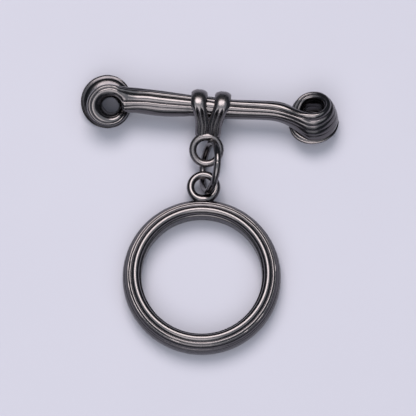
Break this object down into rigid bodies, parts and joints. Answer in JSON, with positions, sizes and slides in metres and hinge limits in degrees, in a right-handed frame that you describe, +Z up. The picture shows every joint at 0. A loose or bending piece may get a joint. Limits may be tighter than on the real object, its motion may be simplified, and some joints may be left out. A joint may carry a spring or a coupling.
{
  "type": "toggle clasp",
  "caption": "Two-part toggle clasp: a corded ring with an eye, a jump ring, a split bail with an eye, and a fluted bar whose ends curl into scrolls.",
  "frame": {"origin": "on the table under the middle of the whole clasp's box", "axes": "+Z up off the table, +Y from the ring to the bar, +X along the bar to its right-hand scroll as seen from the ring's side"},
  "size_m": [0.0298, 0.033, 0.0063],
  "materials": {
    "ring_metal": "dark gunmetal plating on cast metal, polished ridges and darker grooves",
    "jump_ring_metal": "dark gunmetal plating on drawn wire",
    "bail_metal": "dark gunmetal plating on cast metal, polished straps with dark pits",
    "bar_metal": "dark gunmetal plating on cast metal, polished strands with a rough grain in the grooves"
  },
  "bodies": {
    "links": {"toggle_ring": "ring_metal", "jump_ring": "jump_ring_metal", "bail": "bail_metal"},
    "bar": {"toggle_bar": "bar_metal"}
  },
  "joints": [
    {"name": "bar_turn", "type": "hinge", "parent": "links", "child": "bar", "pos_m": [0, 0.0123, 0.00348], "axis": [0.9968, -0.0802, 0], "continuous": true}
  ]
}
